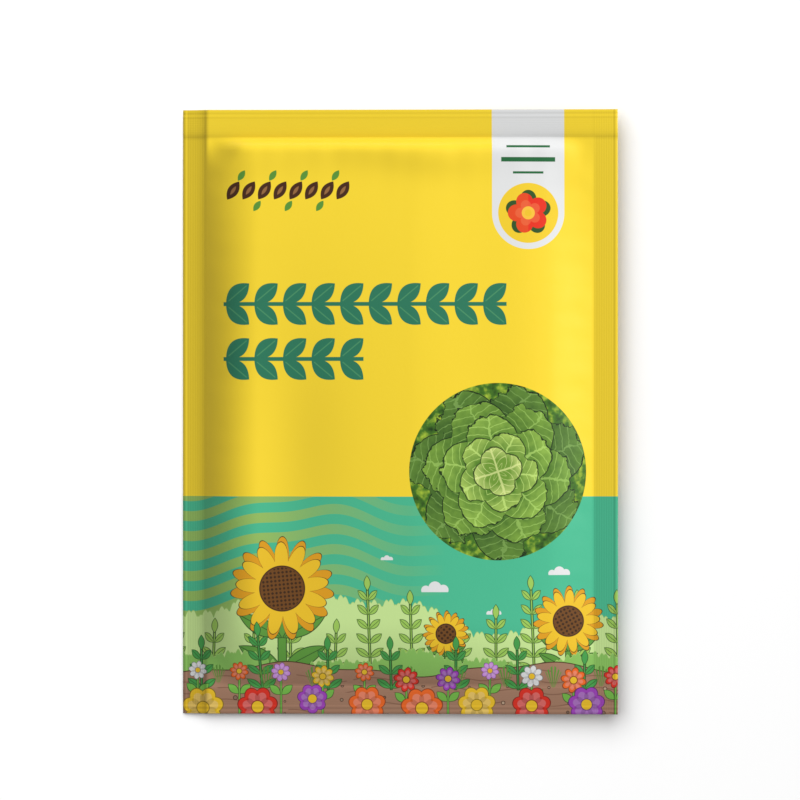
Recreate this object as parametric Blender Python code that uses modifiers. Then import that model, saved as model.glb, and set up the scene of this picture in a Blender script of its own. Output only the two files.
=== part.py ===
"""A sealed seed packet lying on its back: two sheets of printed film, heat-sealed
together along all four sides by ribbed jaws, with loose gourd seeds inside.

Metres, +Z up. X runs across the packet, +Y towards its top edge, and the origin is
the middle of the flat spot that the packet rests on.
"""

import math
import random

import bmesh
import bpy

# The packet's outline and its sealed margins
WIDTH = 0.100
HEIGHT = 0.139
SIDE_SEAL = 0.0055
END_SEAL = 0.0064

# The laminate, and the layer of melted sealant between the two sheets
FILM = 0.0002
SEALANT = 0.0003

# The ribs that the sealing jaws press along each margin: bold ones at its outer edge
SIDE_RIBS = 5
SIDE_BOLD_RIBS = 1
END_RIBS = 6
END_BOLD_RIBS = 2
RIB_HEIGHT = 0.00008

# How deep the jaws press each seal's inner edge, below zero where it stands up, and
# how soon that fades either way
LEFT_GROOVE = -0.00045
RIGHT_GROOVE = 0.0
TOP_GROOVE = 0.00055
BOTTOM_GROOVE = 0.00025
GROOVE_OUTSIDE = 0.0009
GROOVE_INSIDE = 0.0100

# How much higher the right seal lies than the middle of the packet
SEAL_LEAN = 0.0015

# How far the outer edge of each margin hangs below its inner edge
LEFT_DROOP = 0.0008
RIGHT_DROOP = -0.0001
TOP_DROOP = 0.0009
BOTTOM_DROOP = 0.0007

# How far the filled pouch swells on either side of the seals
FRONT_CROWN = 0.0044
BACK_DEPTH = 0.0034
BACK_FLAT_SHARE = 0.80

# How far each shoulder reaches in from its seal, and how soon it levels out
LEFT_SHOULDER = (0.0116, 1.9)
RIGHT_SHOULDER = (0.0420, 1.5)
TOP_SHOULDER = (0.0028, 1.6)
BOTTOM_SHOULDER = (0.0150, 1.9)
BACK_SHOULDER = (0.0150, 2.0)

# How far from each corner the pouch is drawn down
CORNER_REACH = 0.0085
CORNER_POWER = 1.6

# Mesh lines across the pouch between the seals
COLUMNS = 18
ROWS = 22

# The seeds: black, flat, pointed ovals in one loose layer
SEED_LENGTH = 0.0180
SEED_WIDTH = 0.0112
SEED_THICKNESS = 0.0028
SEED_POINT = 0.30
SEED_RIM = 0.0010
SEED_RIM_SHARE = 0.2
SEED_CROWN_POWER = 1.2
SEED_COLUMNS = 3
SEED_ROWS = 4
SEED_PITCH = 0.0200
SEED_STAGGER = 0.0025
SEED_JITTER = 0.0008
SEED_CLEARANCE = 0.0003
SEED_SIDES = 14
SEED_RINGS = 8
RANDOM_SEED = 7

POUCH_HALF_WIDTH = WIDTH / 2 - SIDE_SEAL
POUCH_HALF_HEIGHT = HEIGHT / 2 - END_SEAL
SEAL_PLANE = BACK_DEPTH + FILM + SEALANT / 2

# Soft lumps in the front sheet: centre x, centre y, half-width, half-height, rise
LUMPS = [
    (0.010, -0.022, 0.026, 0.034, 0.00060),
    (-0.026, -0.010, 0.010, 0.028, -0.00110),
    (0.0325, 0.014, 0.0120, 0.060, 0.00095),
    (0.000, 0.0700, 0.060, 0.0300, -0.00230),
    (0.004, 0.0605, 0.038, 0.0045, 0.00115),
]
LUMP_SIDE_FADE = (0.0100, 1.5)
LUMP_END_FADE = (0.0030, 2.0)

# The slow wave in the lumps' places that runs across the packet
LUMP_WAVE = 0.0009
LUMP_WAVE_REACH = 0.0072

YELLOW_FILM = (0.95, 0.68, 0.05, 1.0)
FILM_ROUGHNESS = 0.40
BLACK_SEED = (0.030, 0.022, 0.018, 1.0)
SEED_ROUGHNESS = 0.45


def clear_scene():
    """Removes what the scene opens with."""
    for obj in list(bpy.data.objects):
        bpy.data.objects.remove(obj, do_unlink=True)


def material(name, colour, roughness):
    """A plain finish for a solid."""
    made = bpy.data.materials.new(name)
    made.use_nodes = True
    shader = made.node_tree.nodes["Principled BSDF"]
    shader.inputs["Base Color"].default_value = colour
    shader.inputs["Roughness"].default_value = roughness
    made.diffuse_color = colour
    return made


def shoulder(distance, width, power):
    """How full the pouch is at a distance inside a seal, from 0 at it to 1."""
    share = min(max(distance / width, 0.0), 1.0)
    return 1.0 - (1.0 - share) ** power


def swell(x, y):
    """How full the pouch is at a point, from 0 at the seals to 1 in the middle."""
    left = shoulder(POUCH_HALF_WIDTH + x, *LEFT_SHOULDER)
    right = shoulder(POUCH_HALF_WIDTH - x, *RIGHT_SHOULDER)
    top = shoulder(POUCH_HALF_HEIGHT - y, *TOP_SHOULDER)
    bottom = shoulder(POUCH_HALF_HEIGHT + y, *BOTTOM_SHOULDER)
    from_side = max(POUCH_HALF_WIDTH - abs(x), 0.0)
    from_corner = math.hypot(from_side, max(POUCH_HALF_HEIGHT - abs(y), 0.0))
    return left * right * top * bottom * shoulder(from_corner, CORNER_REACH, CORNER_POWER)


def rib_wave(share, count, bold_count):
    """The bold ribs of one margin, at a share of the way out from its inner edge."""
    if share <= 1.0 - bold_count / count:
        return 0.0
    return RIB_HEIGHT * (0.5 - 0.5 * math.cos(2 * math.pi * count * share))


def groove(outside):
    """How much of the groove's depth is left at a distance outside its lowest line."""
    return math.exp(min(-outside / GROOVE_OUTSIDE, outside / GROOVE_INSIDE))


def seal_height(x, y):
    """Height of the seals' middle plane. Both sheets follow it, so they nest."""
    beyond_side = abs(x) - POUCH_HALF_WIDTH
    beyond_end = abs(y) - POUCH_HALF_HEIGHT
    side = max(beyond_side / SIDE_SEAL, 0.0)
    end = max(beyond_end / END_SEAL, 0.0)
    rise = rib_wave(side, SIDE_RIBS, SIDE_BOLD_RIBS) + rib_wave(end, END_RIBS, END_BOLD_RIBS)
    rise -= groove(beyond_side) * (LEFT_GROOVE if x < 0.0 else RIGHT_GROOVE)
    rise -= groove(beyond_end) * (BOTTOM_GROOVE if y < 0.0 else TOP_GROOVE)
    rise -= side * (LEFT_DROOP if x < 0.0 else RIGHT_DROOP)
    rise -= end * (BOTTOM_DROOP if y < 0.0 else TOP_DROOP)
    return SEAL_PLANE + SEAL_LEAN * x / POUCH_HALF_WIDTH + rise


def lumps(x, y):
    """The slack of the front sheet over loose seeds and trapped air."""
    rise = 0.0
    bent = y + LUMP_WAVE * math.sin(x / LUMP_WAVE_REACH)
    for centre_x, centre_y, half_x, half_y, height in LUMPS:
        reach = ((x - centre_x) / half_x) ** 2 + ((bent - centre_y) / half_y) ** 2
        rise += height * math.exp(-reach)
    side = shoulder(POUCH_HALF_WIDTH - abs(x), *LUMP_SIDE_FADE)
    return rise * side * shoulder(POUCH_HALF_HEIGHT - abs(y), *LUMP_END_FADE)


def front_face(x, y):
    """Height of the front sheet's printed face."""
    flat = seal_height(x, y) + SEALANT / 2 + FILM
    return flat + FRONT_CROWN * swell(x, y) + lumps(x, y)


def back_face(x, y):
    """Height of the back sheet's outer face, which is flat where the packet rests."""
    flat = seal_height(x, y) - SEALANT / 2 - FILM
    across = shoulder(POUCH_HALF_WIDTH - abs(x), *BACK_SHOULDER)
    along = shoulder(POUCH_HALF_HEIGHT - abs(y), *BACK_SHOULDER)
    share = min(across * along / BACK_FLAT_SHARE, 1.0)
    return flat * (1.0 - share) ** 2


def mesh_lines(half_pouch, seal, rib_count, inner_count):
    """Places of the mesh lines in one direction: two for each rib, and between the
    seals a cosine spacing that is closest at the shoulders."""
    steps = 2 * rib_count
    outside = [half_pouch + seal * k / steps for k in range(1, steps + 1)]
    inside = [-half_pouch * math.cos(math.pi * k / inner_count) for k in range(inner_count + 1)]
    return [-place for place in reversed(outside)] + inside + outside


def film_sheet(name, face_height, faces_up, finish, home):
    """One sheet of laminate: its outer face as a shaped grid, thickened inwards."""
    lines_x = mesh_lines(POUCH_HALF_WIDTH, SIDE_SEAL, SIDE_RIBS, COLUMNS)
    lines_y = mesh_lines(POUCH_HALF_HEIGHT, END_SEAL, END_RIBS, ROWS)
    cells_x = len(lines_x) - 1
    cells_y = len(lines_y) - 1
    sheet = bmesh.new()
    bmesh.ops.create_grid(sheet, x_segments=cells_x, y_segments=cells_y, size=0.5)
    for vertex in sheet.verts:
        x = lines_x[round((vertex.co.x + 0.5) * cells_x)]
        y = lines_y[round((vertex.co.y + 0.5) * cells_y)]
        vertex.co = (x, y, face_height(x, y))
    if not faces_up:
        bmesh.ops.reverse_faces(sheet, faces=sheet.faces)
    mesh = bpy.data.meshes.new(name)
    sheet.to_mesh(mesh)
    sheet.free()
    mesh.shade_smooth()
    mesh.materials.append(finish)
    obj = bpy.data.objects.new(name, mesh)
    home.objects.link(obj)
    thickness = obj.modifiers.new("Film thickness", "SOLIDIFY")
    thickness.thickness = FILM
    thickness.offset = -1.0
    return obj


def seed_mesh(finish):
    """A flat seed, pointed at +X, with a thin rim round its swollen middle."""
    shape = bmesh.new()
    bmesh.ops.create_uvsphere(shape, u_segments=SEED_SIDES, v_segments=SEED_RINGS, radius=1.0)
    for vertex in shape.verts:
        across = math.hypot(vertex.co.x, vertex.co.y)
        turn = math.atan2(vertex.co.y, vertex.co.x)
        narrowing = 1.0 - SEED_POINT * max(math.cos(turn), 0.0) * abs(math.sin(turn))
        up = vertex.co.z
        crown = abs(up) ** SEED_CROWN_POWER * (SEED_THICKNESS - SEED_RIM) / 2 + SEED_RIM / 2
        vertex.co.x = across * math.cos(turn) * SEED_LENGTH / 2
        vertex.co.y = across * math.sin(turn) * narrowing * SEED_WIDTH / 2
        vertex.co.z = math.copysign(crown, up) if abs(up) > SEED_RIM_SHARE else crown * up
    mesh = bpy.data.meshes.new("seed")
    shape.to_mesh(mesh)
    shape.free()
    mesh.shade_smooth()
    mesh.materials.append(finish)
    return mesh


def place_seeds(finish, home):
    """Loose seeds in staggered rows on the inside of the back sheet."""
    draw = random.Random(RANDOM_SEED)
    mesh = seed_mesh(finish)
    height = FILM + SEED_CLEARANCE + SEED_THICKNESS / 2
    count = 0
    for row in range(SEED_ROWS):
        y = (row - (SEED_ROWS - 1) / 2) * SEED_PITCH
        shift = SEED_STAGGER if row % 2 else -SEED_STAGGER
        for column in range(SEED_COLUMNS):
            x = (column - (SEED_COLUMNS - 1) / 2) * SEED_PITCH + shift
            count += 1
            seed = bpy.data.objects.new(f"seed_{count:02d}", mesh)
            seed.location = (
                x + draw.uniform(-SEED_JITTER, SEED_JITTER),
                y + draw.uniform(-SEED_JITTER, SEED_JITTER),
                height,
            )
            seed.rotation_euler.z = draw.uniform(0.0, 2 * math.pi)
            home.objects.link(seed)


def main():
    clear_scene()
    packet = bpy.data.collections.new("seed_packet")
    bpy.context.scene.collection.children.link(packet)
    film = material("yellow_film", YELLOW_FILM, FILM_ROUGHNESS)
    seed_coat = material("black_seed_coat", BLACK_SEED, SEED_ROUGHNESS)
    film_sheet("front_film", front_face, True, film, packet)
    film_sheet("back_film", back_face, False, film, packet)
    place_seeds(seed_coat, packet)


main()
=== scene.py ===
"""The looks of a sealed seed packet that lies on its back: printed film, ribbed seals,
the seeds inside, and the studio that shows it from straight above."""

import math
import random

import bmesh
import bpy
import numpy as np
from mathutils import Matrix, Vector


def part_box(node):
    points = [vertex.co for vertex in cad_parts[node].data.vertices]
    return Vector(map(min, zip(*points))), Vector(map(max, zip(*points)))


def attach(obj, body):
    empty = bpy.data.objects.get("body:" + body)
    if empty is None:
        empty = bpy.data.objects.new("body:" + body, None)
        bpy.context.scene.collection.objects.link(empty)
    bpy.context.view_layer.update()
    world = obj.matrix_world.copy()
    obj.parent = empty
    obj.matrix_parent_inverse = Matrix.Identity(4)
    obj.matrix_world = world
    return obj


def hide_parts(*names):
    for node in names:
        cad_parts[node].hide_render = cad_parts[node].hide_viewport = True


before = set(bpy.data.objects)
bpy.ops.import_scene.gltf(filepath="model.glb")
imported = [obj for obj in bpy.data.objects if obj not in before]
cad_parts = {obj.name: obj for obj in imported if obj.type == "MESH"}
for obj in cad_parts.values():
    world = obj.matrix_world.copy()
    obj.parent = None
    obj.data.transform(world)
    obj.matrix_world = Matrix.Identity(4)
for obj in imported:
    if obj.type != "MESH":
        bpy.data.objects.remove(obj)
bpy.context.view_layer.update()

# The pouch's own shape. Two sheets of laminate are sealed together along all four
# sides, and the filled middle swells between the seals: steeply at the shoulders,
# softly over the loose seeds, and flat underneath where the packet lies.
WIDTH = 0.100
HEIGHT = 0.139
SIDE_SEAL = 0.0055
END_SEAL = 0.0064
MARGIN_THICKNESS = 0.0004
HALF_POUCH_X = WIDTH / 2 - SIDE_SEAL
HALF_POUCH_Y = HEIGHT / 2 - END_SEAL

# How far the pouch swells either way, and the film and sealant in the solids' seals
FRONT_CROWN = 0.0044
BACK_DEPTH = 0.0034
SOLID_FILM = 0.0002
SOLID_SEALANT = 0.0003
SEAL_PLANE = BACK_DEPTH + SOLID_FILM + SOLID_SEALANT / 2

# How far each shoulder reaches in from its seal, and how soon it levels out
LEFT_SHOULDER = (0.0116, 1.9)
RIGHT_SHOULDER = (0.0420, 1.5)
TOP_SHOULDER = (0.0028, 1.6)
BOTTOM_SHOULDER = (0.0150, 1.9)
BACK_SHOULDER = (0.0150, 2.0)
BACK_FLAT_SHARE = 0.80

# Lumps of the front sheet: centre x, centre y, half-width, half-height, rise
LUMPS = (
    (0.010, -0.022, 0.026, 0.034, 0.00060),
    (-0.026, -0.010, 0.010, 0.028, -0.00110),
    (0.0325, 0.014, 0.0120, 0.060, 0.00095),
    (0.000, 0.0700, 0.060, 0.0300, -0.00230),
    (0.004, 0.0605, 0.038, 0.0045, 0.00115),
)
LUMP_SIDE_FADE = (0.0100, 1.5)
LUMP_END_FADE = (0.0030, 2.0)

# How far from each corner the pouch is drawn down
CORNER_REACH = 0.0085
CORNER_POWER = 1.6

# The slow wave in the lumps' places that runs across the packet
LUMP_WAVE = 0.0009
LUMP_WAVE_REACH = 0.0072


def shoulder(distance, width, power):
    """How full the pouch is at a distance inside a seal, from 0 at it to 1."""
    share = np.clip(distance / width, 0.0, 1.0)
    return 1.0 - (1.0 - share) ** power


def swell(x, y):
    """How full the pouch is at a point, from 0 at the seals to 1 in the middle."""
    left = shoulder(HALF_POUCH_X + x, *LEFT_SHOULDER)
    right = shoulder(HALF_POUCH_X - x, *RIGHT_SHOULDER)
    top = shoulder(HALF_POUCH_Y - y, *TOP_SHOULDER)
    bottom = shoulder(HALF_POUCH_Y + y, *BOTTOM_SHOULDER)
    from_side = np.maximum(HALF_POUCH_X - np.abs(x), 0.0)
    from_corner = np.hypot(from_side, np.maximum(HALF_POUCH_Y - np.abs(y), 0.0))
    return left * right * top * bottom * shoulder(from_corner, CORNER_REACH, CORNER_POWER)


def in_margin(x, y):
    """How far out a point lies in the side and end margins, from 0 to 1."""
    side = np.clip((np.abs(x) - HALF_POUCH_X) / SIDE_SEAL, 0.0, 1.0)
    end = np.clip((np.abs(y) - HALF_POUCH_Y) / END_SEAL, 0.0, 1.0)
    return side, end


def lumps(x, y):
    """The slack of the front sheet over loose seeds and trapped air."""
    rise = 0.0
    bent = y + LUMP_WAVE * np.sin(x / LUMP_WAVE_REACH)
    for centre_x, centre_y, half_x, half_y, height in LUMPS:
        reach = ((x - centre_x) / half_x) ** 2 + ((bent - centre_y) / half_y) ** 2
        rise = rise + height * np.exp(-reach)
    side = shoulder(HALF_POUCH_X - np.abs(x), *LUMP_SIDE_FADE)
    return rise * side * shoulder(HALF_POUCH_Y - np.abs(y), *LUMP_END_FADE)


# The heat seals. Ribbed jaws press both sheets at once, so the sheets nest. The sides
# are five ribs wide and the ends six. Only the outermost ribs are bold, and fine ones,
# half as wide, fill the rest of each margin.
SIDE_RIBS = 5
SIDE_BOLD_RIBS = 1
END_RIBS = 6
END_BOLD_RIBS = 2
RIB_HEIGHT = 0.00008
FINE_RIB_HEIGHT = 0.000015

# How deep the jaws press each seal's inner edge, below zero where it stands up, how
# soon that fades either way, and how far each margin's outer edge hangs
GROOVE_OUTSIDE = 0.0009
GROOVE_INSIDE = 0.0100
LEFT_GROOVE = -0.00045
RIGHT_GROOVE = 0.0
TOP_GROOVE = 0.00055
BOTTOM_GROOVE = 0.00025
LEFT_DROOP = 0.0008
RIGHT_DROOP = -0.0001
TOP_DROOP = 0.0009
BOTTOM_DROOP = 0.0007

# How much higher the right seal lies than the middle of the packet
SEAL_LEAN = 0.0015


def rib_wave(share, count, bold_count):
    """The ribs across one margin, at a share of the way out from its inner edge."""
    bold = 0.5 - 0.5 * np.cos(2 * math.pi * count * share)
    fine = 0.5 - 0.5 * np.cos(4 * math.pi * count * share)
    return np.where(share > 1.0 - bold_count / count, RIB_HEIGHT * bold, FINE_RIB_HEIGHT * fine)


def groove(outside):
    """How much of the groove is left at a distance outside its lowest line."""
    return np.exp(np.minimum(-outside / GROOVE_OUTSIDE, outside / GROOVE_INSIDE))


def seal_height(x, y):
    """Height of the seals' middle plane, with all that the jaws press into it."""
    side, end = in_margin(x, y)
    rise = rib_wave(side, SIDE_RIBS, SIDE_BOLD_RIBS) + rib_wave(end, END_RIBS, END_BOLD_RIBS)
    rise = rise - groove(np.abs(x) - HALF_POUCH_X) * np.where(x < 0.0, LEFT_GROOVE, RIGHT_GROOVE)
    rise = rise - groove(np.abs(y) - HALF_POUCH_Y) * np.where(y < 0.0, BOTTOM_GROOVE, TOP_GROOVE)
    rise = rise - side * np.where(x < 0.0, LEFT_DROOP, RIGHT_DROOP)
    rise = rise - end * np.where(y < 0.0, BOTTOM_DROOP, TOP_DROOP)
    return SEAL_PLANE + SEAL_LEAN * x / HALF_POUCH_X + rise


# Short puckers where the flat seals hold the swollen film back. They stand square to
# each seal, die away inwards, and are spaced unevenly.
PUCKER_RISE = 0.00004
PUCKER_REACH = 0.0055
PUCKER_START = 0.003
PUCKERS = ((0.0091, 0.6), (0.0143, 1.9), (0.0057, 4.0))


def puckers(x, y):
    """Small waves in the film beside the seals."""
    side = np.maximum(HALF_POUCH_X - np.abs(x), 0.0)
    end = np.maximum(HALF_POUCH_Y - np.abs(y), 0.0)
    rise = 0.0
    for pitch, phase in PUCKERS:
        along_side = np.sin(2 * math.pi * y / pitch + phase + np.sign(x))
        along_end = np.sin(2 * math.pi * x / pitch + phase * 2 + np.sign(y))
        rise = rise + along_side * np.exp(-side / PUCKER_REACH)
        rise = rise + along_end * np.exp(-end / PUCKER_REACH)
    start = np.clip(np.minimum(side, end) / PUCKER_START, 0.0, 1.0)
    return PUCKER_RISE * rise * start


def front_face(x, y):
    """Height of the front sheet's printed face."""
    flat = seal_height(x, y) + MARGIN_THICKNESS / 2
    return flat + FRONT_CROWN * swell(x, y) + lumps(x, y) + puckers(x, y)


def back_face(x, y):
    """Height of the back sheet's outer face, flat where the packet rests."""
    flat = seal_height(x, y) - MARGIN_THICKNESS / 2
    across = shoulder(HALF_POUCH_X - np.abs(x), *BACK_SHOULDER)
    along = shoulder(HALF_POUCH_Y - np.abs(y), *BACK_SHOULDER)
    share = np.clip(across * along / BACK_FLAT_SHARE, 0.0, 1.0)
    return flat * (1.0 - share) ** 2


# The two webs of film are cut from one printed laminate. Each is a fine grid, closest
# over the seals and next to them, thickened inwards.
SEAL_CELLS_X = 55
SEAL_CELLS_Y = 46
POUCH_CELLS_X = 90
POUCH_CELLS_Y = 112
CROWDING = 0.35
FILM = 0.00012


def film_lines(half_pouch, seal, seal_cells, pouch_cells):
    """Places of the grid's lines in one direction."""
    outside = half_pouch + seal * np.arange(1, seal_cells + 1) / seal_cells
    turn = np.linspace(-1.0, 1.0, pouch_cells + 1)
    between = half_pouch * ((1.0 - CROWDING) * turn + CROWDING * np.sin(turn * math.pi / 2))
    return np.concatenate([-outside[::-1], between, outside])


def film_sheet(name, face_height, faces_up):
    """A sheet of laminate whose outer face has the given height."""
    x, y = np.meshgrid(
        film_lines(HALF_POUCH_X, SIDE_SEAL, SEAL_CELLS_X, POUCH_CELLS_X),
        film_lines(HALF_POUCH_Y, END_SEAL, SEAL_CELLS_Y, POUCH_CELLS_Y),
    )
    rows, columns = x.shape
    points = np.stack([x, y, face_height(x, y)], axis=-1).reshape(-1, 3)
    corner = (np.arange(rows - 1)[:, None] * columns + np.arange(columns - 1)).ravel()
    faces = np.stack([corner, corner + 1, corner + columns + 1, corner + columns], axis=-1)
    if not faces_up:
        faces = faces[:, ::-1]
    mesh = bpy.data.meshes.new(name)
    mesh.from_pydata(points.tolist(), [], faces.tolist())
    mesh.shade_smooth()
    sheet = bpy.data.objects.new(name, mesh)
    bpy.context.scene.collection.objects.link(sheet)
    thickness = sheet.modifiers.new("Film thickness", "SOLIDIFY")
    thickness.thickness = FILM
    thickness.offset = -1.0
    thickness.material_offset = 1
    thickness.material_offset_rim = 1
    return sheet


front = film_sheet("front_sheet", front_face, True)
back = film_sheet("back_sheet", back_face, False)


# The laminate's outside is a satin film over flexographic inks, and its inside and cut
# edges are white. Print is laid out in millimetres from the packet's middle, and the
# colours are sRGB values from 0 to 255.
class Wire:
    """One output of a material's nodes. Arithmetic on it adds Math nodes."""

    def __init__(self, tree, socket=None):
        self.tree = tree
        self.socket = socket

    def node(self, kind, settings=(), inputs=(), out=0):
        """Any node: its settings are set first, then its sockets' values or links."""
        made = self.tree.nodes.new(kind)
        for name, value in dict(settings).items():
            if name == "stops":
                ramp = made.color_ramp
                while len(ramp.elements) < len(value):
                    ramp.elements.new(1.0)
                for stop, (place, colour) in zip(ramp.elements, value):
                    stop.position = place
                    stop.color = colour
            elif name == "steps":
                made.color_ramp.interpolation = value
            else:
                setattr(made, name, value)
        for name, value in dict(inputs).items():
            if isinstance(value, Wire):
                self.tree.links.new(value.socket, made.inputs[name])
            else:
                made.inputs[name].default_value = value
        return Wire(self.tree, made.outputs[out])

    def math(self, operation, *values, clamp=False):
        settings = {"operation": operation, "use_clamp": clamp}
        return self.node("ShaderNodeMath", settings, enumerate((self, *values)))

    def vector(self, operation, *values, out=0):
        settings = {"operation": operation}
        return self.node("ShaderNodeVectorMath", settings, enumerate((self, *values)), out)

    def __add__(self, other):
        return self.math("ADD", other)

    __radd__ = __add__

    def __sub__(self, other):
        return self.math("SUBTRACT", other)

    def __rsub__(self, other):
        return self.node("ShaderNodeMath", {"operation": "SUBTRACT"}, {0: other, 1: self})

    def __mul__(self, other):
        return self.math("MULTIPLY", other)

    __rmul__ = __mul__

    def __truediv__(self, other):
        return self.math("DIVIDE", other)

    def __abs__(self):
        return self.math("ABSOLUTE")

    def __neg__(self):
        return self.math("MULTIPLY", -1.0)


def ink(red, green, blue):
    """A printed colour, from its sRGB values."""
    values = [value / 255 for value in (red, green, blue)]
    straight = [v / 12.92 if v <= 0.04045 else ((v + 0.055) / 1.055) ** 2.4 for v in values]
    return (*straight, 1.0)


YELLOW = ink(252, 219, 50)
TEAL = ink(74, 188, 146)
DEEP_GREEN = ink(43, 122, 92)
BROWN = ink(70, 37, 16)
LEAF_GREEN = ink(118, 186, 74)
PALE_GREEN = ink(203, 233, 152)
LINE_GREEN = ink(46, 84, 34)
LINE_BROWN = ink(74, 44, 22)
SOIL = ink(166, 126, 102)
FURROW = ink(140, 102, 80)
WHITE = ink(228, 229, 229)
ORANGE = ink(240, 106, 34)
RED = ink(222, 48, 30)
PURPLE = ink(160, 68, 186)
LILAC = ink(214, 150, 232)
GOLD = ink(240, 196, 40)
EDGE_SHARPNESS = 12.0
LINE_WIDTH = 0.22


def painted(under, mask, over):
    """One ink over another where the mask is 1."""
    return mask.node("ShaderNodeMix", {"data_type": "RGBA"}, {0: mask, 6: under, 7: over}, out=2)


def inside(distance):
    """1 where a distance in millimetres is below 0, with a clean printed edge."""
    return distance.math("MULTIPLY_ADD", -EDGE_SHARPNESS, 0.5, clamp=True)


def outlined(under, distance, fill, line=LINE_GREEN, width=LINE_WIDTH):
    """A filled shape with a drawn line just inside its edge."""
    ringed = painted(under, inside(distance), line)
    return painted(ringed, inside(distance + width), fill)


def disc(point, x, y, radius):
    """Distance outside a disc."""
    return point.vector("DISTANCE", (x, y, 0.0), out=1) - radius


def local(point, x, y, turn=0.0, scale=1.0):
    """A motif's own coordinates about its place, turned and scaled."""
    inputs = {"Vector": point, "Location": (x, y, 0.0), "Rotation": (0.0, 0.0, turn),
              "Scale": (scale, scale, 1.0)}
    return point.node("ShaderNodeMapping", {"vector_type": "TEXTURE"}, inputs)


def parts(vector):
    """The x and y of a vector."""
    return (vector.node("ShaderNodeSeparateXYZ", (), {0: vector}, out=0),
            vector.node("ShaderNodeSeparateXYZ", (), {0: vector}, out=1))


def joined(x, y):
    """A vector from its x and y."""
    owner = x if isinstance(x, Wire) else y
    return owner.node("ShaderNodeCombineXYZ", (), {0: x, 1: y})


def leaf(along, across, length, width):
    """Distance outside a leaf that runs from 0 to its length along one direction."""
    middle = along.math("MULTIPLY_ADD", 2.0 / length, -1.0)
    return abs(across) + (middle * middle).math("MULTIPLY_ADD", width, -width)


def ring_of_petals(vector, radius, count, notch, turn=0.0):
    """Distance outside a flower with pointed petals round the vector's origin."""
    x, y = parts(vector)
    angle = y.math("ARCTAN2", x)
    petal = abs((angle * (count / (2 * math.pi)) + turn).math("FRACT") - 0.5)
    reach = vector.vector("LENGTH", out=1)
    return reach + (petal * petal).math("MULTIPLY_ADD", 4.0 * notch * radius, -radius)


def repeated(x, pitch, shift=0.0):
    """A repeat along one direction: place in the repeat, and its number."""
    turns = x.math("MULTIPLY_ADD", 1.0 / pitch, shift)
    number = turns.math("FLOOR")
    return (turns - number - 0.5) * pitch, number


def chance(number, seed):
    """A fixed random value for a number."""
    return number.node("ShaderNodeTexWhiteNoise", {"noise_dimensions": "1D"}, {"W": number + seed})


def chosen(value, colours):
    """One of several inks by a value from 0 to 1."""
    stops = [(k / len(colours), colour) for k, colour in enumerate(colours)]
    settings = {"steps": "CONSTANT", "stops": stops}
    return value.node("ShaderNodeValToRGB", settings, {0: value})


def blended(value, colours):
    """A smooth run through several inks by a value from 0 to 1."""
    stops = [(k / (len(colours) - 1), colour) for k, colour in enumerate(colours)]
    return value.node("ShaderNodeValToRGB", {"stops": stops}, {0: value})


def noise(point, scale, detail=2.0, seed=0.0):
    """Smooth noise from 0 to 1 over millimetres."""
    inputs = {"Vector": point, "Scale": scale, "Detail": detail, "W": seed}
    return point.node("ShaderNodeTexNoise", {"noise_dimensions": "4D"}, inputs)


# The front's upper field is plain yellow. Two leaf garlands run across its middle, a
# row of seeds stands above them, and a white round-ended tab hangs from the top edge.
GARLAND_LEFT = -40.5
GARLAND_PITCH = 6.55
GARLAND_MIDDLE = 18.4
GARLAND_SPACING = 12.6
GARLAND_LEAVES = (10, 5)
GARLAND_END_GAP = 0.6
GARLAND_LEAF = (7.0, 1.95)
GARLAND_LEAF_FOOT = (-2.7, 0.2, math.radians(40))
GARLAND_STEM = 0.45
GARLAND_VEIN = 0.13
GARLAND_VEIN_INSET = 0.7
GARLAND_VEIN_SHARE = 0.55
GARLAND_VEIN_GREEN = ink(92, 164, 110)


def garlands(under, point):
    """Two lines of paired leaves on a stem."""
    x, y = parts(point)
    from_stem = abs(abs(y - GARLAND_MIDDLE) - GARLAND_SPACING / 2)
    place, _ = repeated(x - GARLAND_LEFT, GARLAND_PITCH)
    along, across = parts(local(joined(place, from_stem), *GARLAND_LEAF_FOOT))
    leaves = leaf(along, across, *GARLAND_LEAF)
    mark = leaves.math("MINIMUM", from_stem - GARLAND_STEM)
    upper = y.math("GREATER_THAN", GARLAND_MIDDLE)
    lengths = (GARLAND_PITCH * count - GARLAND_END_GAP for count in GARLAND_LEAVES)
    long, short = (GARLAND_LEFT + length for length in lengths)
    end = upper.math("MULTIPLY_ADD", long - short, short)
    within = (x - end).math("MAXIMUM", GARLAND_LEFT - x)
    leafy = painted(under, inside(mark.math("MAXIMUM", within)), DEEP_GREEN)
    vein = (abs(across) - GARLAND_VEIN).math("MAXIMUM", leaves + GARLAND_VEIN_INSET)
    veined = inside(vein.math("MAXIMUM", within)) * GARLAND_VEIN_SHARE
    return painted(leafy, veined, GARLAND_VEIN_GREEN)


SEED_ROW_START = -40.0
SEED_ROW_X = -25.6
SEED_ROW_Y = 50.7
SEED_ROW_HALF = 14.4
SEED_ROW_PITCH = 3.6
SEED_ROW_TURN = math.radians(56)
ROW_SEED = (5.0, 1.25)
ROW_SEED_FOOT = (-1.5, 48.7)
ROW_CORE = (2.4, 0.38)
ROW_CORE_START = 1.3
ROW_CORE_BROWN = ink(150, 104, 60)
ROW_LEAF = (2.9, 0.70)
ROW_LEAF_FOOT = (-0.8, -1.2)
ROW_LEAF_RISE = 3.5
ROW_LEAF_GREEN = ink(92, 150, 56)


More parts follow.
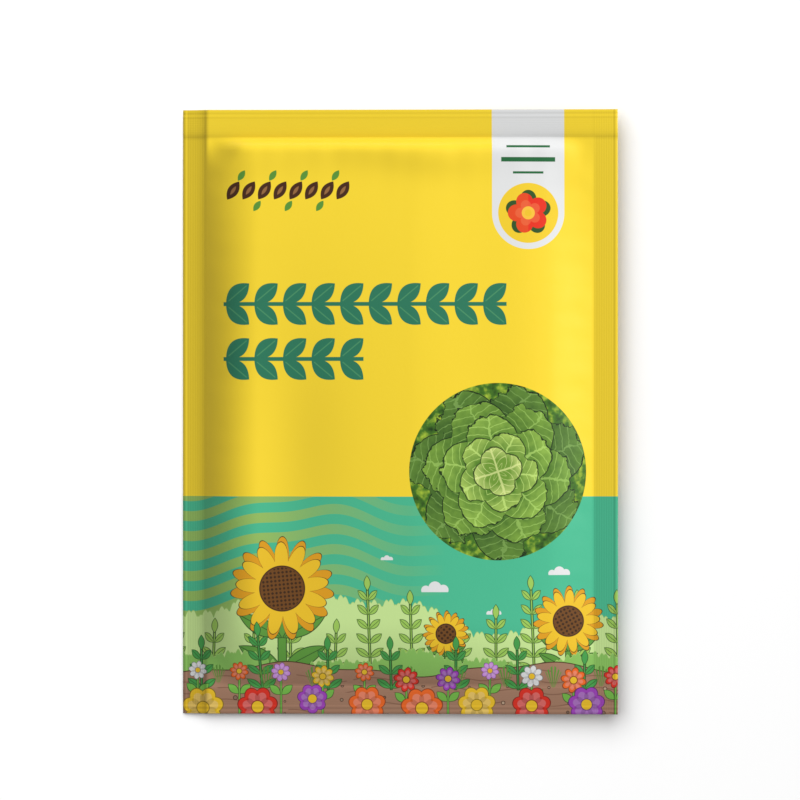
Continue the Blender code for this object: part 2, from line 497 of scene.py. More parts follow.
def seed_row(under, point):
    """Eight brown pointed seeds, with small green leaves by turns above and below."""
    x, y = parts(point)
    from_start = x - SEED_ROW_START
    within = abs(x - SEED_ROW_X) - SEED_ROW_HALF
    place, _ = repeated(from_start, SEED_ROW_PITCH)
    along, across = parts(local(joined(place, y), *ROW_SEED_FOOT, SEED_ROW_TURN))
    seeds = leaf(along, across, *ROW_SEED).math("MAXIMUM", within)
    row = painted(under, inside(seeds), BROWN)
    core = leaf(along - ROW_CORE_START, across, *ROW_CORE).math("MAXIMUM", within)
    row = painted(row, inside(core), ROW_CORE_BROWN)
    place, number = repeated(from_start, SEED_ROW_PITCH, 0.5)
    above = (number * 0.5).math("FRACT").math("GREATER_THAN", 0.25)
    up = y - SEED_ROW_Y - above.math("MULTIPLY_ADD", 2 * ROW_LEAF_RISE, -ROW_LEAF_RISE)
    along, across = parts(local(joined(place, up), *ROW_LEAF_FOOT, SEED_ROW_TURN))
    leaves = leaf(along, across, *ROW_LEAF).math("MAXIMUM", within + SEED_ROW_PITCH / 2)
    return painted(row, inside(leaves), ROW_LEAF_GREEN)


TAB_X = 29.4
TAB_HALF = 8.3
TAB_END = 45.6
RULE_GREEN = ink(34, 104, 58)
TAB_DISC = 6.9
TAB_YELLOW = ink(244, 208, 44)
BLOSSOM_SEPALS = (5.3, 5, 0.42, 0.25)
BLOSSOM_PETALS = (4.7, 5, 0.30)
BLOSSOM_INNER = (3.0, 5, 0.34)
BLOSSOM_LIGHT = ink(232, 74, 28)
BLOSSOM_DARK = ink(232, 46, 22)
BLOSSOM_PALE = ink(240, 116, 70)
BLOSSOM_EYES = ((1.5, ink(250, 196, 60)), (0.8, GOLD))

# The tab's rules: height, half-length, half-thickness
TAB_RULES = ((54.9, 3.5, 0.26), (57.9, 6.2, 0.52), (60.9, 5.0, 0.26))


def hanging_tab(under, point):
    """A white tab with thin rules, and a red blossom on a yellow disc."""
    x, y = parts(point)
    strip = (abs(x - TAB_X) - TAB_HALF).math("MAXIMUM", TAB_END - y)
    shape = strip.math("MINIMUM", disc(point, TAB_X, TAB_END, TAB_HALF))
    tab = painted(under, inside(shape), WHITE)
    for height, half, thick in TAB_RULES:
        rule = (abs(y - height) - thick).math("MAXIMUM", abs(x - TAB_X) - half)
        tab = painted(tab, inside(rule), RULE_GREEN)
    tab = painted(tab, inside(disc(point, TAB_X, TAB_END, TAB_DISC)), TAB_YELLOW)
    middle = local(point, TAB_X, TAB_END)
    tab = painted(tab, inside(ring_of_petals(middle, *BLOSSOM_SEPALS)), LINE_GREEN)
    petals = inside(ring_of_petals(middle, *BLOSSOM_PETALS))
    tab = painted(tab, petals, BLOSSOM_LIGHT)
    tab = painted(tab, petals * inside(TAB_X - x), BLOSSOM_DARK)
    tab = painted(tab, inside(ring_of_petals(middle, *BLOSSOM_INNER)) * 0.5, BLOSSOM_PALE)
    for radius, tone in BLOSSOM_EYES:
        tab = painted(tab, inside(disc(point, TAB_X, TAB_END, radius)), tone)
    return tab


# The lower field, printed over teal: a striped far slope, scalloped hedges and brown
# soil, with plants in rows, three big golden heads, and small blooms along the bottom.
FIELD_TOP = -19.4
GROUND = -60.0
SLOPE_WAVES = ((2.6, 61.0, 0.4), (0.8, 23.0, 2.0))
SLOPE_PITCH = 4.6
SLOPE_HALF_STRIPE = 1.15
SLOPE_GREEN = ink(150, 190, 98)

# The slope of a straight-line change and its value at 0, as in later pairs like it
SLOPE_FADE = (-1.0 / 42.0, 0.25)


def wavy(x, *waves):
    """A sum of sine waves of (height, length, phase) along x."""
    total = None
    for height, length, phase in waves:
        wave = x.math("MULTIPLY_ADD", 2 * math.pi / length, phase).math("SINE") * height
        total = wave if total is None else total + wave
    return total


def far_slope(under, point):
    """Wavy stripes of young crops that fade out to the right."""
    x, y = parts(point)
    stripe, _ = repeated(y + wavy(x, *SLOPE_WAVES), SLOPE_PITCH)
    fade = x.math("MULTIPLY_ADD", *SLOPE_FADE, clamp=True)
    return painted(under, inside(abs(stripe) - SLOPE_HALF_STRIPE) * fade, SLOPE_GREEN)


# Each cloud's place and size, its puffs' places and radii, and its flat foot
CLOUDS = ((8.0, -40.5, 1.0), (36.5, -36.8, 0.8), (21.5, -46.0, 0.55), (-3.0, -33.6, 0.45))
CLOUD_PUFFS = ((0.0, 0.2, 1.5), (-2.1, -0.3, 1.05), (1.9, -0.25, 1.2))
CLOUD_FOOT = -0.75


def clouds(under, point):
    """Small white clouds."""
    for x, y, size in CLOUDS:
        own = local(point, x, y, 0.0, size)
        shape, *others = (disc(own, *puff) for puff in CLOUD_PUFFS)
        for puff in others:
            shape = shape.math("MINIMUM", puff)
        shape = shape.math("MAXIMUM", CLOUD_FOOT - parts(own)[1])
        under = painted(under, inside(shape), WHITE)
    return under


SCALLOPS = (1.5, 7.0, 0.7)
LEAF_TIPS = (0.7, 2.6, 0.0)
HEDGE_GREEN = ink(140, 196, 96)
HEDGE_LINE = ink(168, 208, 118)
HEDGE_LINE_WIDTH = 0.18


def hedge(under, point, top, tone, waves, scallop):
    """A band of leafy hedge with a scalloped top."""
    x, y = parts(point)
    rise, length, phase = SCALLOPS
    fringe = abs(wavy(x, (rise * scallop, length * scallop, phase))) + abs(wavy(x, LEAF_TIPS))
    edge = (y - top - wavy(x, *waves)) - fringe
    return outlined(under, edge, tone, HEDGE_LINE, HEDGE_LINE_WIDTH)


SOIL_TOP = -59.0
SOIL_WAVES = ((1.3, 58.0, 1.2), (0.5, 21.0, 0.0))
FURROW_WAVES = ((0.6, 17.0, 1.0), (0.4, 41.0, 3.0))
FURROW_PITCH = 2.7
FURROW_SHIFT = 0.2
FURROW_HALF_WIDTH = 0.13
FURROW_INSET = 1.0
FURROW_BREAKS = (0.16, 1.0, 3.0)
FURROW_BREAK_LEVEL = 0.47


def soil(under, point):
    """Brown ground with broken furrow lines."""
    x, y = parts(point)
    edge = y - SOIL_TOP + wavy(x, *SOIL_WAVES)
    ground = outlined(under, edge, SOIL, LINE_BROWN)
    line, _ = repeated(y + wavy(x, *FURROW_WAVES), FURROW_PITCH, FURROW_SHIFT)
    broken = noise(point, *FURROW_BREAKS).math("GREATER_THAN", FURROW_BREAK_LEVEL)
    furrow = inside(abs(line) - FURROW_HALF_WIDTH) * inside(edge + FURROW_INSET) * broken
    return painted(ground, furrow, FURROW)


PEBBLE_PITCH = (4.7, 3.4)
PEBBLE_SHIFT = 0.3
PEBBLE_SWAY = (2.6, 1.6)
PEBBLE_RADIUS = (0.34, 0.22)
PEBBLE_TOP = -62.9
PEBBLE_LINE = 0.16
PEBBLE_INKS = (ink(118, 92, 78), ink(196, 168, 142))

# Each pebble's two draws: what a line adds to the column's number, and the seed
PEBBLE_DRAWS = ((7.3, 9.0), (3.1, 4.0))


def pebbles(under, point):
    """Small round stones scattered on the ground."""
    x, y = parts(point)
    place, column = repeated(x, PEBBLE_PITCH[0], PEBBLE_SHIFT)
    rise, line = repeated(y, PEBBLE_PITCH[1])
    roll, turn = (chance(column + line * step, seed) for step, seed in PEBBLE_DRAWS)
    own = joined(place + (roll - 0.5) * PEBBLE_SWAY[0], rise + (turn - 0.5) * PEBBLE_SWAY[1])
    stone = own.vector("LENGTH", out=1) - roll.math("MULTIPLY_ADD", *PEBBLE_RADIUS)
    stone = stone.math("MAXIMUM", y - PEBBLE_TOP)
    return outlined(under, stone, blended(turn, PEBBLE_INKS), LINE_BROWN, PEBBLE_LINE)


# How many of a plant's pairs of leaves are left to chance, and how many it always has
PLANT_PAIRS = (0.6, 0.5)
PAIR_SPACING = 3.3
PLANT_SWAY = 1.6
PLANT_STEM = 0.34
PLANT_TAPER = (-0.45, 1.15)
PLANT_LEAF = (3.9, 0.85)
PLANT_LEAF_FOOT = (0.0, -1.3, math.radians(36))
PLANT_TIP = (3.6, 0.8)
PLANT_TIP_SUNK = 0.8
PLANT_LINE = 0.16
PLANT_VEIN = 0.06
PLANT_VEIN_INSET = 0.25


def plants(under, point, foot, pitch, shift, pairs, lean, tone, seed):
    """A row of tall stems with pairs of leaves and one leaf at the tip."""
    x, y = parts(point)
    place, number = repeated(x, pitch, shift)
    roll = chance(number, seed)
    up = y - foot
    more, least = (share * pairs for share in PLANT_PAIRS)
    tall = ((roll * more).math("FLOOR") + least) * PAIR_SPACING
    side = abs(place + (roll - 0.5) * PLANT_SWAY + up * (roll - 0.5) * lean)
    stem = (side - PLANT_STEM).math("MAXIMUM", up - tall).math("MAXIMUM", -up)
    step, _ = repeated(up, PAIR_SPACING)
    size = (up / tall).math("MULTIPLY_ADD", *PLANT_TAPER)
    along, across = parts(local(joined(side / size, step), *PLANT_LEAF_FOOT))
    leaves = leaf(along, across, *PLANT_LEAF).math("MAXIMUM", up - tall).math("MAXIMUM", -up)
    tip = leaf(up - tall + PLANT_TIP_SUNK, side, *PLANT_TIP)
    vein = (abs(across) - PLANT_VEIN).math("MAXIMUM", leaves + PLANT_VEIN_INSET)
    under = outlined(under, stem, tone)
    under = outlined(under, leaves.math("MINIMUM", tip), tone, LINE_GREEN, PLANT_LINE)
    return painted(under, inside(vein), LINE_GREEN)


# Shares of a golden head's size, and the places of its two pairs of long leaves
GOLDEN_RINGS = ((1.0, 15, 0.0, ink(226, 160, 26)), (0.90, 13, 0.4, GOLD))
GOLDEN_NOTCH = 0.40
GOLDEN_PETAL_LINE = 0.2
GOLDEN_MIDDLE = 0.44
GOLDEN_MIDDLE_LINE = 0.3
GOLDEN_STEM = 0.09
GOLDEN_BLADE = (0.95, 0.17)
GOLDEN_BLADE_TURN = math.radians(28)
GOLDEN_LOW_PAIR = 1.0
GOLDEN_HIGH_PAIR = 0.42
GOLDEN_VEIN = 0.08
GOLDEN_VEIN_INSET = 0.4
GOLDEN_WEAVE = 3.4
GOLDEN_DOT_LEVEL = 0.25
GOLDEN_DOT_INSET = 0.45
GOLDEN_GREEN = ink(96, 158, 62)
GOLDEN_BROWN = ink(112, 70, 26)
GOLDEN_DOTS = ink(62, 36, 12)


def golden_head(under, point, x, y, size, turn):
    """A big flower head: two rings of gold petals round a brown seeded middle."""
    column, height = parts(local(point, x, GROUND))
    side = abs(column)
    stem = (side - GOLDEN_STEM * size).math("MAXIMUM", height + GROUND - y)
    under = outlined(under, stem.math("MAXIMUM", -height), GOLDEN_GREEN)
    for lift in (GOLDEN_LOW_PAIR, GOLDEN_HIGH_PAIR * (y - GROUND)):
        along, across = parts(local(joined(side, height), 0.0, lift, GOLDEN_BLADE_TURN))
        blade = leaf(along, across, *(share * size for share in GOLDEN_BLADE))
        vein = (abs(across) - GOLDEN_VEIN).math("MAXIMUM", blade + GOLDEN_VEIN_INSET)
        under = outlined(under, blade, GOLDEN_GREEN)
        under = painted(under, inside(vein), LINE_GREEN)
    own = local(point, x, y, turn)
    for radius, count, shift, tone in GOLDEN_RINGS:
        petals = ring_of_petals(own, radius * size, count, GOLDEN_NOTCH, shift)
        under = outlined(under, petals, tone, LINE_BROWN, GOLDEN_PETAL_LINE)
    middle = disc(own, 0.0, 0.0, GOLDEN_MIDDLE * size)
    under = outlined(under, middle, GOLDEN_BROWN, LINE_BROWN, GOLDEN_MIDDLE_LINE)
    across, up = parts(own)
    warp = ((across + up) * GOLDEN_WEAVE).math("SINE")
    weft = ((across - up) * GOLDEN_WEAVE).math("SINE")
    dots = (warp * weft).math("GREATER_THAN", GOLDEN_DOT_LEVEL)
    return painted(under, dots * inside(middle + GOLDEN_DOT_INSET), GOLDEN_DOTS)


BLOOM_SWAY = 2.4
BLOOM_SIZES = (0.35, 0.8)
BLOOM_STEM = 0.28
BLOOM_STEM_LINE = 0.12
BLOOM_LEAF = (3.4, 0.95)
BLOOM_LEAF_START = 0.1
BLOOM_LEAF_DROP = 2.6
BLOOM_LEAF_TURN = math.radians(42)
BLOOM_LEAF_LINE = 0.16
BLOOM_TURN = 0.37
BLOOM_HEAD_LINE = 0.2
BLOOM_HEART = (0.74, 1.5)
BLOOM_CREASE = (0.66, 0.95)
BLOOM_CREASE_SHARE = 0.35
BLOOM_EYE = 0.32
BLOOM_EYE_LINE = 0.18
BLOOM_DARKENING = 0.28
BLOOM_PALING = 0.16
INK_STEP = 0.382
INK_START = 0.21


def paler(colour):
    """A petal's colour mixed with a little white."""
    mix = zip(colour, WHITE)
    return tuple((1.0 - BLOOM_PALING) * own + BLOOM_PALING * white for own, white in mix)


def bloom_row(under, point, height, pitch, shift, radius, petals, notch, colours, seed):
    """A row of blooms on short stems with two leaves, in changing colours."""
    x, y = parts(point)
    place, number = repeated(x, pitch, shift)
    roll = chance(number, seed)
    up = y - height + (roll - 0.5) * BLOOM_SWAY
    side = abs(place)
    size = roll.math("MULTIPLY_ADD", *BLOOM_SIZES)
    stem = (side - BLOOM_STEM).math("MAXIMUM", up)
    under = outlined(under, stem, LEAF_GREEN, LINE_GREEN, BLOOM_STEM_LINE)
    leaf_foot = (BLOOM_LEAF_START, -radius - BLOOM_LEAF_DROP, BLOOM_LEAF_TURN)
    along, across = parts(local(joined(side, up), *leaf_foot))
    blade = leaf(along, across, *BLOOM_LEAF)
    under = outlined(under, blade, LEAF_GREEN, LINE_GREEN, BLOOM_LEAF_LINE)
    own = joined(place / size, up / size)
    turn = seed * BLOOM_TURN
    value = (number * INK_STEP + seed * INK_START).math("FRACT")
    darks = [(*(BLOOM_DARKENING * v for v in c[:3]), 1.0) for c in colours]
    pales = [paler(c) for c in colours]
    line = chosen(value, darks)
    head = ring_of_petals(own, radius, petals, notch, turn)
    under = outlined(under, head, chosen(value, colours), line, BLOOM_HEAD_LINE)
    reach, depth = BLOOM_HEART
    heart = ring_of_petals(own, radius * reach, petals, notch * depth, turn)
    under = painted(under, inside(heart), chosen(value, pales))
    reach, depth = BLOOM_CREASE
    crease = ring_of_petals(own, radius * reach, petals, depth, turn + 0.5)
    under = painted(under, inside(crease) * BLOOM_CREASE_SHARE, line)
    return outlined(under, disc(own, 0.0, 0.0, radius * BLOOM_EYE), GOLD, line, BLOOM_EYE_LINE)


TUFT_GREEN = ink(96, 150, 58)
TUFT_SHIFT = 0.3
TUFT_SWAY = 2.0
TUFT_FOOT = 0.35
TUFT_SPLAY = 0.42
TUFT_BLADES = 2.5
TUFT_HEIGHT = 4.2
TUFT_MORE_HEIGHT = 1.6
TUFT_SLOPE = 0.9
BLADE_HALF = 0.26
BLADE_EDGE = 1.2


def tufts(under, point, foot, pitch, seed):
    """Tufts of pointed grass blades along the ground."""
    x, y = parts(point)
    place, number = repeated(x, pitch, TUFT_SHIFT)
    roll = chance(number, seed)
    up = y - foot + (roll - 0.5) * TUFT_SWAY
    splay = place / (TUFT_FOOT + up.math("MAXIMUM", 0.0) * TUFT_SPLAY)
    blade = abs((splay * TUFT_BLADES).math("FRACT") - 0.5)
    top = up - TUFT_HEIGHT - roll * TUFT_MORE_HEIGHT + abs(place) * TUFT_SLOPE
    shape = top.math("MAXIMUM", abs(splay) - 1.0)
    shape = shape.math("MAXIMUM", (blade - BLADE_HALF) * BLADE_EDGE).math("MAXIMUM", -up)
    return painted(under, inside(shape), TUFT_GREEN)


FAR_PLANT_GREEN = ink(160, 204, 92)
NEAR_PLANT_GREEN = ink(70, 160, 76)
FAR_BLOOMS = (ORANGE, LILAC, RED, WHITE, GOLD, PURPLE, ORANGE)
NEAR_BLOOMS = (RED, ORANGE, PURPLE, GOLD, ORANGE)


def lower_field(under, point):
    """The whole lower picture, from the sky forwards."""
    under = far_slope(under, point)
    under = clouds(under, point)
    under = hedge(under, point, top=-46.5, tone=PALE_GREEN, scallop=1.0,
                  waves=((4.8, 96.0, 3.0), (1.8, 31.0, 0.6)))
    under = plants(under, point, foot=GROUND, pitch=9.4, shift=0.15, pairs=6.0, lean=0.10,
                   tone=FAR_PLANT_GREEN, seed=3.0)
    under = golden_head(under, point, x=-27.0, y=-40.5, size=12.0, turn=0.1)
    under = golden_head(under, point, x=38.6, y=-48.0, size=8.2, turn=0.5)
    under = golden_head(under, point, x=10.5, y=-50.8, size=5.4, turn=0.9)
    under = hedge(under, point, top=-57.6, tone=HEDGE_GREEN, scallop=0.6,
                  waves=((1.4, 47.0, 1.0), (0.8, 19.0, 0.6)))
    under = pebbles(soil(under, point), point)
    under = plants(under, point, foot=-64.0, pitch=14.6, shift=0.62, pairs=4.0, lean=0.18,
                   tone=NEAR_PLANT_GREEN, seed=8.0)
    under = tufts(under, point, foot=-63.0, pitch=11.0, seed=5.0)
    under = bloom_row(under, point, height=-60.6, pitch=9.6, shift=0.35, radius=2.7,
                      petals=8, notch=0.30, colours=FAR_BLOOMS, seed=2.0)
    return bloom_row(under, point, height=-67.2, pitch=12.6, shift=0.1, radius=4.4,
                     petals=7, notch=0.20, colours=NEAR_BLOOMS, seed=6.0)


# The round picture: a leafy head seen from above, ring on ring of ruffled leaves with
# pale veins, on a dappled green ground. A ring has its radius, its number of leaves,
# its turn, and the dark and light of its leaves.
ROUND_X = 22.4
ROUND_Y = -13.7
ROUND_RADIUS = 20.3
LEAF_RINGS = (
    (20.5, 7, 0.15, (34, 74, 22), (98, 140, 52)),
    (17.0, 6, 0.62, (44, 92, 24), (128, 170, 64)),
    (13.2, 5, 0.10, (62, 112, 30), (150, 190, 78)),
    (9.4, 5, 0.58, (84, 132, 38), (176, 208, 98)),
    (5.8, 4, 0.30, (112, 154, 52), (204, 224, 128)),
)
RUFFLES = (0.42, 3.0, 1.0)
RUFFLE_TURN = 0.25
RUFFLE_EDGE = 0.22
DAPPLES = (0.55, 4.0, 7.0)
DAPPLE_CONTRAST = (2.4, -0.7)
DAPPLE_INKS = (ink(26, 58, 16), ink(70, 120, 30), ink(176, 204, 60))
LEAF_ROUNDING = 0.9
LEAF_SHADE = (1.7, -0.75)
LEAF_DAPPLE = 0.9
LEAF_SIDE_SHADE = 0.35
MIDRIB_HALF = 0.22
SIDE_VEIN_SPREAD = 3.4
SIDE_VEIN_PITCH = 0.55
SIDE_VEIN_SCALE = 3.0
SIDE_VEIN_HALF = 0.16
FULL_TURN = 6.28
VEIN_SHARE = 0.5
VEIN_LIGHTER = 44
LEAF_LINE = 0.28


def leafy_round(under, point):
    """The round picture with its rings of leaves."""
    own = local(point, ROUND_X, ROUND_Y)
    x, y = parts(own)
    ruffle = noise(own, *RUFFLES) - 0.5
    dapple = noise(own, *DAPPLES)
    angle = y.math("ARCTAN2", x) + ruffle * RUFFLE_TURN
    reach = own.vector("LENGTH", out=1)
    colour = blended(dapple.math("MULTIPLY_ADD", *DAPPLE_CONTRAST, clamp=True), DAPPLE_INKS)
    for radius, count, turn, dark, light in LEAF_RINGS:
        petal = (angle * (count / (2 * math.pi)) + turn).math("FRACT") - 0.5
        edge = reach + (petal * petal).math("MULTIPLY_ADD", LEAF_ROUNDING * radius, -radius)
        edge = edge + ruffle * (RUFFLE_EDGE * radius)
        share = (reach / radius).math("MULTIPLY_ADD", *LEAF_SHADE)
        tone = share + (dapple - 0.5) * LEAF_DAPPLE - abs(petal) * LEAF_SIDE_SHADE
        fill = blended(tone.math("ADD", 0.0, clamp=True), (ink(*dark), ink(*light)))
        midrib = abs(petal) * reach * FULL_TURN / count - MIDRIB_HALF
        side_vein = (abs(petal) * SIDE_VEIN_SPREAD - reach * SIDE_VEIN_PITCH).math("FRACT") - 0.5
        veins = midrib.math("MINIMUM", abs(side_vein) * SIDE_VEIN_SCALE - SIDE_VEIN_HALF)
        pale = ink(*(min(v + VEIN_LIGHTER, 255) for v in light))
        fill = painted(fill, inside(veins) * VEIN_SHARE, pale)
        colour = outlined(colour, edge, fill, ink(*(v // 2 for v in dark)), LEAF_LINE)
    return painted(under, inside(disc(point, ROUND_X, ROUND_Y, ROUND_RADIUS)), colour)


# The sealed margins, where heat and pressure fuse the film, are glossier, and their print
# is darkened a little as painted shade. The rest of the film has faint fine haze.
MILLIMETRES = 1000.0
SEAL_PAINTED_SHADE = (0.87, 0.87, 0.87, 1.0)
SEAL_EDGE = (1.5, 0.3)
SEAL_GLOSS = 0.06
FILM_ROUGHNESS = 0.36
FILM_SPECULAR = 0.45
HAZE = (0.35, 3.0, 2.0)
HAZE_SPREAD = 0.10
GRAIN = (1.6, 3.0, 4.0)
GRAIN_STRENGTH = 0.05
GRAIN_DEPTH = 0.0002


def film_material(name, picture):
    """The satin laminate with its picture, and painted shade over its sealed margins."""
    made = bpy.data.materials.new(name)
    made.use_nodes = True
    tree = made.node_tree
    shader = tree.nodes["Principled BSDF"]
    place = Wire(tree).node("ShaderNodeTexCoord", out=3)
    point = place.vector("MULTIPLY", (MILLIMETRES, MILLIMETRES, 0.0))
    x, y = parts(point)
    beyond_side = abs(x) - MILLIMETRES * HALF_POUCH_X
    margin = beyond_side.math("MAXIMUM", abs(y) - MILLIMETRES * HALF_POUCH_Y)
    sealed = margin.math("MULTIPLY_ADD", *SEAL_EDGE, clamp=True)
    # The margins' print is multiplied darker here: painted shade on the seals.
    multiply = {"data_type": "RGBA", "blend_type": "MULTIPLY"}
    layers = {0: sealed, 6: picture(point), 7: SEAL_PAINTED_SHADE}
    print_with_seal_shade = sealed.node("ShaderNodeMix", multiply, layers, out=2)
    tree.links.new(print_with_seal_shade.socket, shader.inputs["Base Color"])
    haze = noise(point, *HAZE).math("MULTIPLY_ADD", HAZE_SPREAD, FILM_ROUGHNESS - HAZE_SPREAD / 2)
    tree.links.new((haze - sealed * SEAL_GLOSS).socket, shader.inputs["Roughness"])
    shader.inputs["Specular IOR Level"].default_value = FILM_SPECULAR
    grain = noise(point, *GRAIN)
    relief = {"Strength": GRAIN_STRENGTH, "Distance": GRAIN_DEPTH, "Height": grain}
    bump = grain.node("ShaderNodeBump", (), relief)
    tree.links.new(bump.socket, shader.inputs["Normal"])
    return made


def front_picture(point):
    """Everything printed on the front."""
    _, y = parts(point)
    lower = inside(y - FIELD_TOP)
    field = painted(YELLOW, lower, lower_field(painted(YELLOW, lower, TEAL), point))
    field = garlands(field, point)
    field = seed_row(field, point)
    field = hanging_tab(field, point)
    return leafy_round(field, point)


PANEL_Y = 8.0
PANEL_HALF = (31.0, 32.0)
PANEL_ROUNDING = 4.0
PANEL_LINE = 0.5
PANEL_RULE_PITCH = 6.0
PANEL_RULE_HALF = (29.0, 30.5)
PANEL_RULE_THICK = 0.14
PANEL_RULE_GREEN = ink(150, 184, 160)
BAND_RISE = 43.5
BAND_HALF = 31.0
BAND_PITCH = 6.2
BAND_BLOOM = (2.3, 6, 0.3)
BAND_EYE = 0.7
BAND_LINE = 0.18
BAND_INKS = (ORANGE, WHITE, RED, PURPLE)


def back_picture(point):
    """The back: the same two fields, a ruled panel, two bands of blooms and bare soil."""
    x, y = parts(point)
    field = painted(YELLOW, inside(y - FIELD_TOP), TEAL)
    field = hedge(field, point, top=-47.0, tone=PALE_GREEN, scallop=1.0,
                  waves=((2.2, 96.0, 3.0), (1.4, 31.0, 0.6)))
    field = hedge(field, point, top=-56.5, tone=HEDGE_GREEN, scallop=0.6,
                  waves=((1.0, 47.0, 1.0), (0.8, 19.0, 0.6)))
    field = pebbles(soil(field, point), point)
    field = tufts(field, point, foot=-61.5, pitch=11.0, seed=5.0)
    from_middle = abs(y - PANEL_Y)
    beyond_x = (abs(x) - PANEL_HALF[0]).math("MAXIMUM", 0.0)
    beyond_y = (from_middle - PANEL_HALF[1]).math("MAXIMUM", 0.0)
    panel = joined(beyond_x, beyond_y).vector("LENGTH", out=1) - PANEL_ROUNDING
    field = outlined(field, panel, WHITE, DEEP_GREEN, PANEL_LINE)
    rule, _ = repeated(y - PANEL_Y, PANEL_RULE_PITCH)
    rules = (abs(rule) - PANEL_RULE_THICK).math("MAXIMUM", abs(x) - PANEL_RULE_HALF[0])
    rules = rules.math("MAXIMUM", from_middle - PANEL_RULE_HALF[1])
    field = painted(field, inside(rules), PANEL_RULE_GREEN)
    place, number = repeated(x, BAND_PITCH)
    band = joined(place, from_middle - BAND_RISE)
    ends = abs(x) - BAND_HALF
    bloom = ring_of_petals(band, *BAND_BLOOM).math("MAXIMUM", ends)
    tone = chosen((number * INK_STEP).math("FRACT"), BAND_INKS)
    field = outlined(field, bloom, tone, LINE_BROWN, BAND_LINE)
    middle = (band.vector("LENGTH", out=1) - BAND_EYE).math("MAXIMUM", ends)
    return painted(field, inside(middle), GOLD)


def grained_material(name, grain, inks, roughness, relief):
    """A material whose tone, roughness and relief all follow one fine grain."""
    made = bpy.data.materials.new(name)
    made.use_nodes = True
    tree = made.node_tree
    shader = tree.nodes["Principled BSDF"]
    place = Wire(tree).node("ShaderNodeTexCoord", out=3)
    fine = noise(place.vector("MULTIPLY", (MILLIMETRES,) * 3), *grain)
    strength, depth = relief
    pits = {"Strength": strength, "Distance": depth, "Height": fine}
    bump = fine.node("ShaderNodeBump", (), pits)
    rough = fine.math("MULTIPLY_ADD", *roughness)
    tree.links.new(blended(fine, inks).socket, shader.inputs["Base Color"])
    tree.links.new(rough.socket, shader.inputs["Roughness"])
    tree.links.new(bump.socket, shader.inputs["Normal"])
    return made


INNER_GRAIN = (0.8, 3.0, 5.0)
INNER_INKS = (ink(224, 225, 222), ink(238, 238, 234))
INNER_ROUGHNESS = (0.14, 0.28)
INNER_RELIEF = (0.04, 0.0002)

inner = grained_material(
    "white_inner_film", INNER_GRAIN, INNER_INKS, INNER_ROUGHNESS, INNER_RELIEF
)
faces = ((front, "front_film", front_picture), (back, "back_film", back_picture))
for sheet, node, picture in faces:
    sheet.data.materials.append(film_material("printed_" + node, picture))
    sheet.data.materials.append(inner)
    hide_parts(node)
    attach(sheet, "root")

# The seeds lie loose inside: black, flat, pointed at one end, with a smooth raised
# rim round a faintly pitted middle. They are dried, and nothing holds them.
SEED_LENGTH = 0.0180
SEED_WIDTH = 0.0112
SEED_THICKNESS = 0.0028
SEED_POINT = 0.30
SEED_SIDES = 64
SEED_RINGS = 32
SEED_CROWN = 0.80
SEED_CROWN_POWER = 0.8
RIM_RISE = 0.22
RIM_PLACE = 0.86
RIM_WIDTH = 0.07
RIM_FADE = 4.0


def fine_seed_mesh():
    """A seed's skin, pointed at +X."""
    shape = bmesh.new()
    bmesh.ops.create_uvsphere(shape, u_segments=SEED_SIDES, v_segments=SEED_RINGS, radius=1.0)
    for vertex in shape.verts:
        reach = math.hypot(vertex.co.x, vertex.co.y)
        turn = math.atan2(vertex.co.y, vertex.co.x)
        narrowing = 1.0 - SEED_POINT * max(math.cos(turn), 0.0) * abs(math.sin(turn))
        swelling = abs(vertex.co.z) ** SEED_CROWN_POWER
        rim = RIM_RISE * math.exp(-((reach - RIM_PLACE) / RIM_WIDTH) ** 2)
        share = SEED_CROWN * swelling + rim * min(swelling * RIM_FADE, 1.0)
        vertex.co = (
            reach * math.cos(turn) * SEED_LENGTH / 2,
            reach * math.sin(turn) * narrowing * SEED_WIDTH / 2,
            math.copysign(share * SEED_THICKNESS / 2, vertex.co.z),
        )
    mesh = bpy.data.meshes.new("seed_skin")
    shape.to_mesh(mesh)
    shape.free()
    mesh.shade_smooth()
    return mesh


COAT_GRAIN = (2.2, 4.0, 1.0)
COAT_INKS = (ink(30, 24, 20), ink(58, 46, 38), ink(92, 74, 58))
COAT_ROUGHNESS = (0.25, 0.3)
COAT_RELIEF = (0.3, 0.0001)
SEED_DRAWS = 7
SEED_COLUMNS = 3
SEED_ROWS = 4
SEED_PITCH = 0.0200
SEED_STAGGER = 0.0025
SEED_JITTER = 0.0008

coat = grained_material("black_seed_coat", COAT_GRAIN, COAT_INKS, COAT_ROUGHNESS, COAT_RELIEF)
draw = random.Random(SEED_DRAWS)
seed_skin = fine_seed_mesh()
seed_skin.materials.append(coat)
seeds = []
for row in range(SEED_ROWS):
    for column in range(SEED_COLUMNS):
        node = f"seed_{len(seeds) + 1:02d}"
        low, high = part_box(node)
        seed = bpy.data.objects.new(f"fine_{node}", seed_skin)
        shift = (draw.uniform(-SEED_JITTER, SEED_JITTER), draw.uniform(-SEED_JITTER, SEED_JITTER))
        stagger = SEED_STAGGER if row % 2 else -SEED_STAGGER
        seed.location = (
            (column - (SEED_COLUMNS - 1) / 2) * SEED_PITCH + stagger + shift[0],
            (row - (SEED_ROWS - 1) / 2) * SEED_PITCH + shift[1],
            (low.z + high.z) / 2,
        )
        seed.rotation_euler.z = draw.uniform(0.0, 2 * math.pi)
        bpy.context.scene.collection.objects.link(seed)
        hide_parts(node)
        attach(seed, "root")
        seeds.append(seed)

# The studio: the packet lies loose on a plain pale table top, which is matt and
# reaches far beyond the view on every side.
TABLE_PAINT = (0.93, 0.93, 0.93, 1.0)
TABLE_ROUGHNESS = 0.9
TABLE_HALF = 3.0

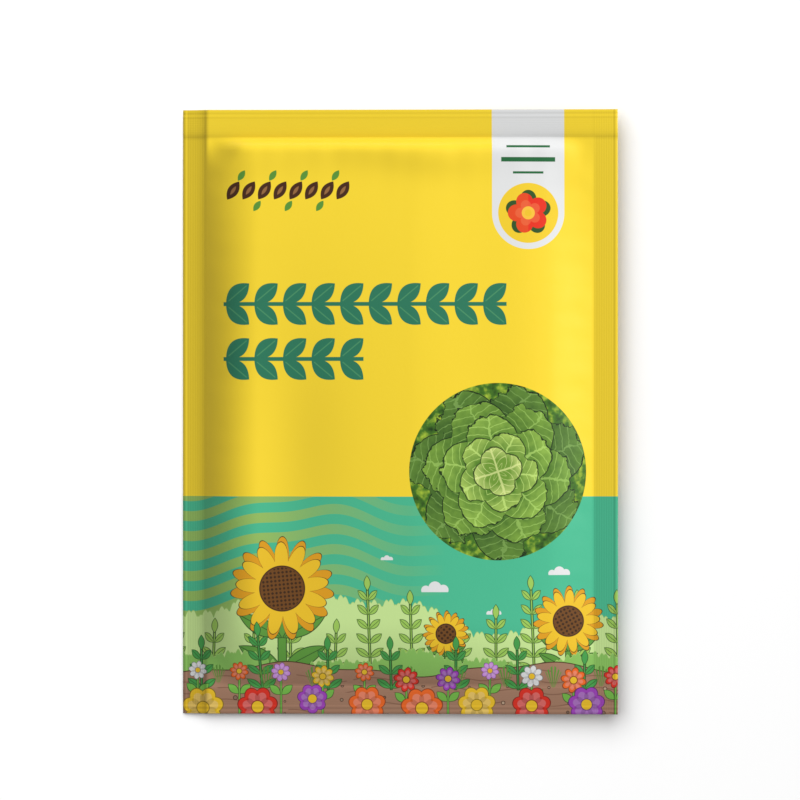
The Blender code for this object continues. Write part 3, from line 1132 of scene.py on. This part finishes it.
corners = ((-1, -1), (1, -1), (1, 1), (-1, 1))
table_points = [(x * TABLE_HALF, y * TABLE_HALF, 0.0) for x, y in corners]
table_mesh = bpy.data.meshes.new("table_top")
table_mesh.from_pydata(table_points, [], [(0, 1, 2, 3)])
table = bpy.data.objects.new("table_top", table_mesh)
bpy.context.scene.collection.objects.link(table)
paint = bpy.data.materials.new("pale_table")
paint.use_nodes = True
shader = paint.node_tree.nodes["Principled BSDF"]
shader.inputs["Base Color"].default_value = TABLE_PAINT
shader.inputs["Roughness"].default_value = TABLE_ROUGHNESS
table_mesh.materials.append(paint)

# The key lights the packet from the upper right. A twin from the upper left lights the
# table alone, so that the packet's shadow falls softly to the lower right. Weak light
# comes from all round.
KEY_LIGHT = {"place": (2.20, 1.20, 1.72), "size": 1.60, "power": 119.0}
TABLE_LIGHT = {"place": (-0.40, 0.80, 1.45), "size": 2.20, "power": 44.0}
AIR_WHITE = (1.0, 1.0, 1.0, 1.0)
AIR_STRENGTH = 0.27


def softbox(name, place, size, power):
    """A square area light that faces the packet."""
    lamp = bpy.data.lights.new(name, "AREA")
    lamp.shape = "SQUARE"
    lamp.size = size
    lamp.energy = power
    made = bpy.data.objects.new(name, lamp)
    made.location = place
    made.rotation_mode = "QUATERNION"
    made.rotation_quaternion = Vector(place).to_track_quat("Z", "Y")
    bpy.context.scene.collection.objects.link(made)
    return made


packet_group = bpy.data.collections.new("packet_pieces")
table_group = bpy.data.collections.new("table_pieces")
table_group.objects.link(table)
for piece in (front, back, *seeds):
    packet_group.objects.link(piece)
key = softbox("key_light", **KEY_LIGHT)
key.light_linking.receiver_collection = packet_group
table_light = softbox("table_light", **TABLE_LIGHT)
table_light.light_linking.receiver_collection = table_group

world = bpy.data.worlds.new("studio_air")
world.use_nodes = True
air = world.node_tree.nodes["Background"]
air.inputs["Color"].default_value = AIR_WHITE
air.inputs["Strength"].default_value = AIR_STRENGTH
bpy.context.scene.world = world
bpy.context.scene.view_settings.view_transform = "Standard"

# The camera looks straight down on the packet, from far enough away that its sides
# look parallel. In the photograph's 800-pixel frame the packet is 435 pixels wide,
# and its middle is 11.75 pixels below the frame's.
FRAME_PIXELS = 800
PACKET_PIXELS = 435
MIDDLE_BELOW = 11.75
LENS = 200.0
SENSOR = 36.0

metres_per_pixel = WIDTH / PACKET_PIXELS
eye = bpy.data.cameras.new("photo_camera")
eye.lens = LENS
eye.sensor_width = SENSOR
camera = bpy.data.objects.new("photo_camera", eye)
camera.location = (
    0.0,
    MIDDLE_BELOW * metres_per_pixel,
    SEAL_PLANE + FRAME_PIXELS * metres_per_pixel * LENS / SENSOR,
)
bpy.context.scene.collection.objects.link(camera)
bpy.context.scene.camera = camera
